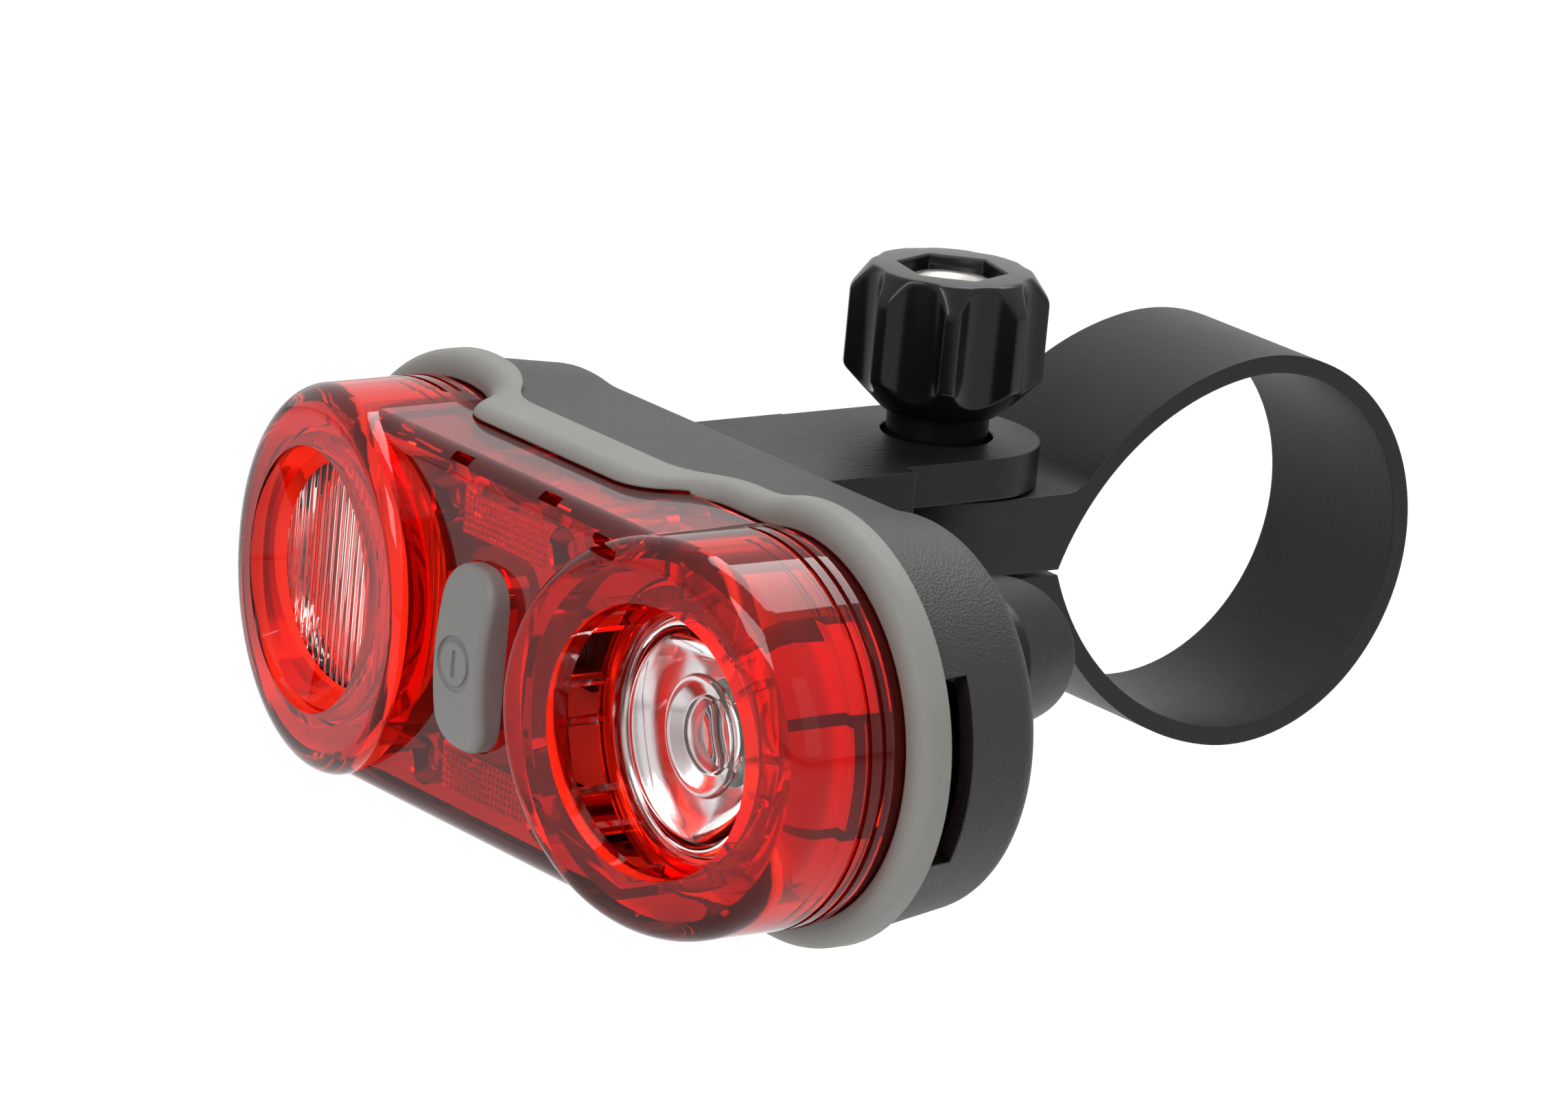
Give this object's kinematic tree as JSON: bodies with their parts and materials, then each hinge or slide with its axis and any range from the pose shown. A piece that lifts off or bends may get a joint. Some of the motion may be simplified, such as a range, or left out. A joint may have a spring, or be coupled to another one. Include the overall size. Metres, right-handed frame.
{
  "type": "bicycle tail light",
  "caption": "Wide tail light with two round lamps, a raised push button and a rubber seal, on a tilting slide bracket with a fluted knob and a round seatpost clamp.",
  "frame": {"origin": "centre of the seatpost clamp's bore", "axes": "+X along the clamp's bore and along the light; the lamps look along -Y; +Z along the knob's axis, towards the knob"},
  "size_m": [0.0852, 0.107, 0.044],
  "materials": {
    "black_plastic": "satin",
    "case_plastic": "fine texture",
    "knob_plastic": "gloss",
    "nickel_steel": "bright",
    "grey_rubber": "matte",
    "red_clear": "clear",
    "clear": "clear",
    "bright_plate": "mirror",
    "dark_frame": "matte",
    "board_green": "satin",
    "diode_white": "gloss",
    "chip_black": "matte",
    "cell_wrap": "gloss"
  },
  "bodies": {
    "clamp": {"clamp_band": "black_plastic", "clamp_nut": "nickel_steel"},
    "light_head": {"bracket": "black_plastic", "rear_case": "case_plastic", "gasket": "grey_rubber", "battery_upper": "cell_wrap", "battery_lower": "cell_wrap", "contact_plates": "nickel_steel", "contact_springs": "nickel_steel"},
    "thrust": {"thrust_washer": "nickel_steel"},
    "knob": {"clamp_knob": "knob_plastic", "clamp_bolt": "nickel_steel"},
    "lever": {"release_lever": "black_plastic"},
    "front_module": {"lens_cover": "red_clear", "fluted_lens": "clear", "reflector": "bright_plate", "collimator_lens": "clear", "lamp_cage": "dark_frame", "carrier": "dark_frame", "circuit_board": "board_green", "led_left": "diode_white", "led_right": "diode_white", "switch_body": "chip_black", "board_chips": "chip_black", "carrier_screws": "nickel_steel"},
    "button": {"power_button": "grey_rubber", "switch_plunger": "nickel_steel"}
  },
  "joints": [
    {"name": "head_tilt", "type": "hinge", "parent": "clamp", "child": "light_head", "pos_m": [0, -0.0295, 0], "axis": [0, 0, 1], "range_deg": [-30, 30]},
    {"name": "washer_lift", "type": "slide", "parent": "clamp", "child": "thrust", "axis": [0, 0, 1], "range_m": [0, 0.0024]},
    {"name": "knob_turn", "type": "hinge", "parent": "thrust", "child": "knob", "pos_m": [0, -0.0295, 0], "axis": [0, 0, 1], "range_deg": [0, 1080]},
    {"name": "lever_release", "type": "hinge", "parent": "light_head", "child": "lever", "pos_m": [0.0126, -0.05461, 0], "axis": [0, 0, 1], "range_deg": [0, 8], "stiffness_Nm_per_rad": 0.3},
    {"name": "cover_pull", "type": "slide", "parent": "light_head", "child": "front_module", "axis": [0, -1, 0], "range_m": [0, 0.012]},
    {"name": "button_press", "type": "slide", "parent": "front_module", "child": "button", "axis": [0, 1, 0], "range_m": [0, 0.0006], "stiffness_N_per_m": 600}
  ],
  "couplings": [
    {"joint": "washer_lift", "follows": "knob_turn", "m_per_rad": 0.00012732}
  ]
}
